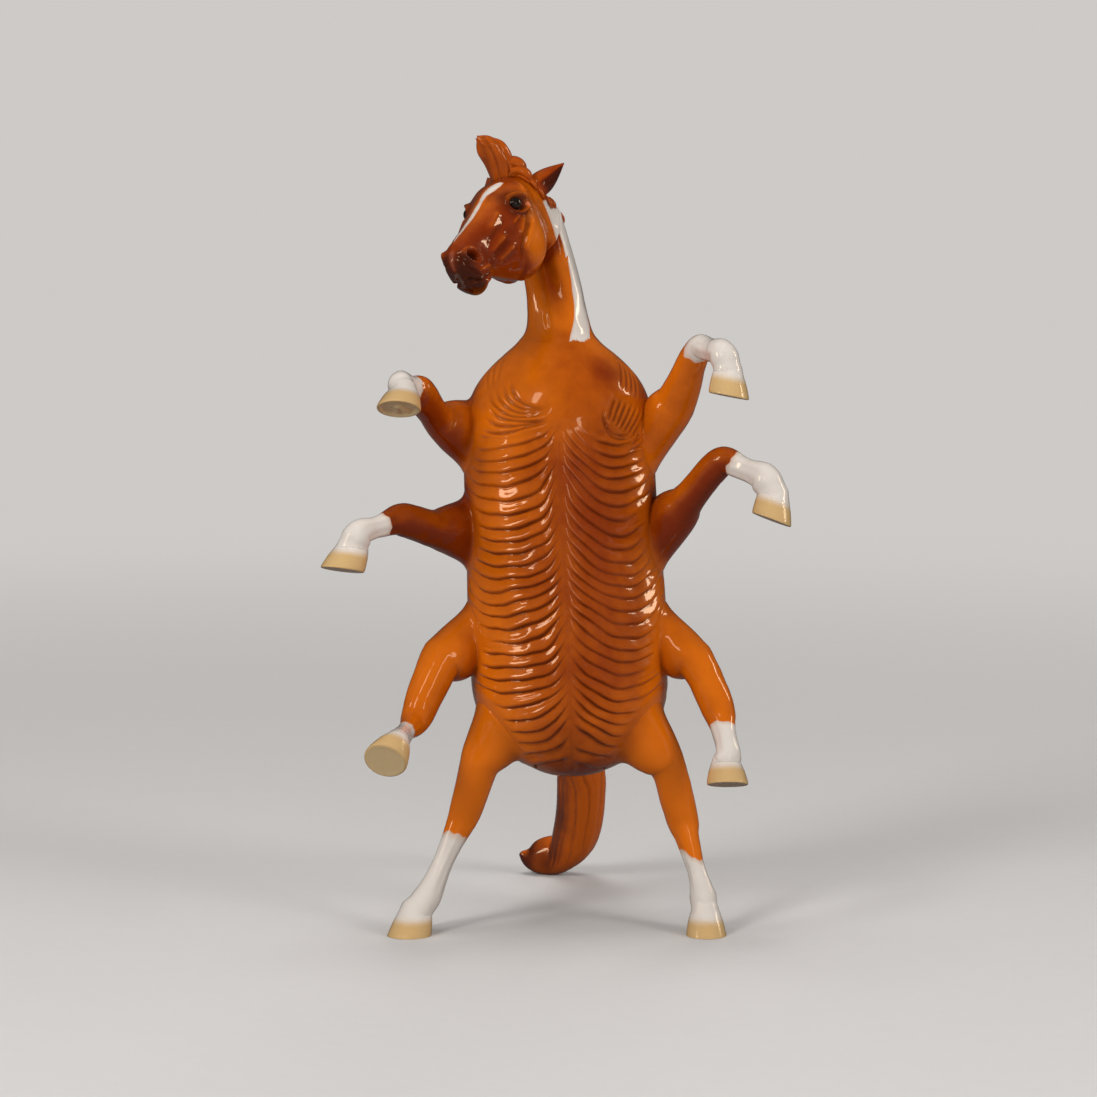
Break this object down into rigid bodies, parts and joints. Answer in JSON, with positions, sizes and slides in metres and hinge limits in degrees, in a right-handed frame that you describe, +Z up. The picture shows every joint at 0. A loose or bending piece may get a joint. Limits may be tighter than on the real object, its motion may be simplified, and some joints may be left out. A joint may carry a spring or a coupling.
{
  "type": "model_horse",
  "caption": "Gloss-painted model horse with many legs and a plump ribbed barrel, reared upright on its hindmost hooves and tail",
  "frame": {"origin": "centre of the model's bounding box, on the ground under it", "axes": "+Z up along the standing figure, +X to the right of someone looking at the belly, -Y out of the belly toward that viewer"},
  "size_m": [0.0656, 0.0598, 0.1136],
  "materials": {
    "chestnut": "hand-painted resin under a thick gloss coat, darker in the grooves",
    "hair": "darker painted resin with a gloss coat",
    "leg": "painted resin with white socks and horn-coloured hooves under a gloss coat",
    "steel": "drawn wire"
  },
  "bodies": {
    "root": {"barrel": "chestnut", "neck": "chestnut", "head": "chestnut", "left_ear": "chestnut", "right_ear": "chestnut", "forelock": "hair", "mane": "hair", "left_fore_leg": "leg", "right_fore_leg": "leg", "left_second_leg": "leg", "right_second_leg": "leg", "left_third_leg": "leg", "right_third_leg": "leg", "left_hind_leg": "leg", "right_hind_leg": "leg", "left_fore_pin": "steel", "right_fore_pin": "steel", "left_second_pin": "steel", "right_second_pin": "steel", "left_third_pin": "steel", "right_third_pin": "steel", "left_hind_pin": "steel", "right_hind_pin": "steel", "tail": "hair", "tail_pin": "steel", "neck_dowel": "steel", "head_pin": "steel"}
  },
  "joints": []
}
